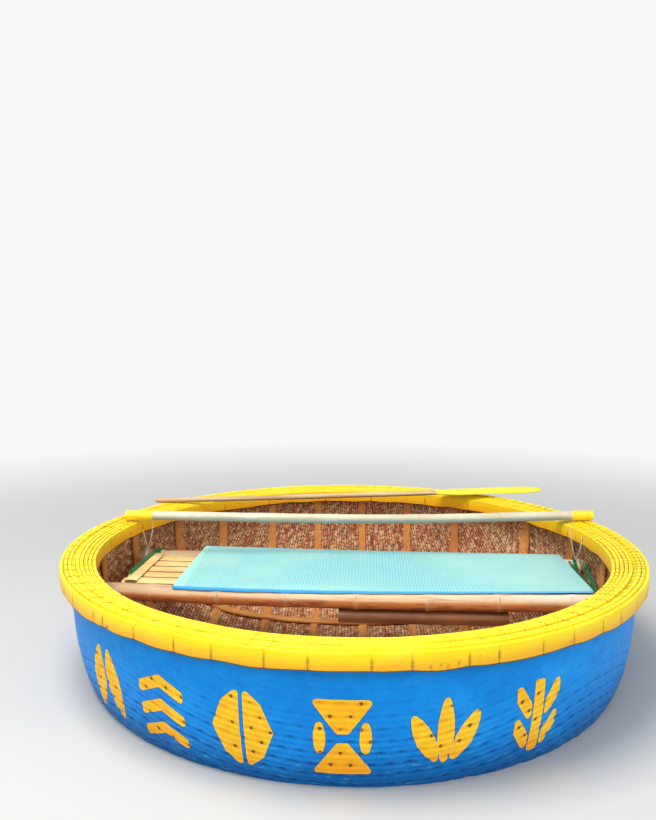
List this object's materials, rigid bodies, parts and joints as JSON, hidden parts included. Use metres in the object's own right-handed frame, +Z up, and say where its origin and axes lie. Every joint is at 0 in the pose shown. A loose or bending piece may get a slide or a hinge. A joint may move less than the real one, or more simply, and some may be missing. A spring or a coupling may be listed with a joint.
{
  "type": "round woven basket boat",
  "caption": "Round woven bamboo basket boat: painted bowl hull, laminated lath rim, ribs, bamboo bench with mat, crossbar and paddle.",
  "frame": {"origin": "centre of the hull's flat bottom, at its lowest point", "axes": "+Z up, +X to the right along the crossbar and bench, +Y from the bench's front pole to its rear pole"},
  "size_m": [2.1986, 2.1986, 0.6653],
  "materials": {
    "painted_weave": "satin paint over woven bamboo, bare inside",
    "rim_paint": "satin paint on bent bamboo laths",
    "rib_bamboo": "dry split bamboo",
    "pole_bamboo": "weathered bamboo skin",
    "split_bamboo": "dry split bamboo",
    "mat_foam": "ribbed foam",
    "bar_paint": "worn pale paint",
    "paddle_wood": "bare shaft, painted blade"
  },
  "bodies": {
    "boat": {"hull_basket": "painted_weave", "rim_lath_outer_1": "rim_paint", "rim_lath_outer_2": "rim_paint", "rim_lath_outer_3": "rim_paint", "rim_lath_inner_1": "rim_paint", "rim_lath_inner_2": "rim_paint", "rim_lath_inner_3": "rim_paint", "rim_lath_inner_4": "rim_paint", "rim_lath_inner_5": "rim_paint", "rib_along_1": "rib_bamboo", "rib_along_2": "rib_bamboo", "rib_along_3": "rib_bamboo", "rib_along_4": "rib_bamboo", "rib_along_5": "rib_bamboo", "rib_along_6": "rib_bamboo", "rib_across_1": "rib_bamboo", "rib_across_2": "rib_bamboo", "rib_across_3": "rib_bamboo", "rib_across_4": "rib_bamboo", "rib_across_5": "rib_bamboo", "rib_across_6": "rib_bamboo", "bench_pole_front": "pole_bamboo", "bench_pole_rear": "pole_bamboo", "bench_pole_low": "pole_bamboo", "bench_rungs": "pole_bamboo", "bench_slats": "split_bamboo", "bench_end_left": "split_bamboo", "bench_end_right": "split_bamboo", "bench_mat": "mat_foam", "floor_slats": "split_bamboo", "crossbar": "bar_paint", "crossbar_sleeve_left": "rim_paint", "crossbar_sleeve_right": "rim_paint"},
    "paddle": {"paddle": "paddle_wood"}
  },
  "joints": [
    {"name": "paddle_lift", "type": "slide", "parent": "boat", "child": "paddle", "axis": [0, 0, 1], "range_m": [0, 0.25]}
  ]
}
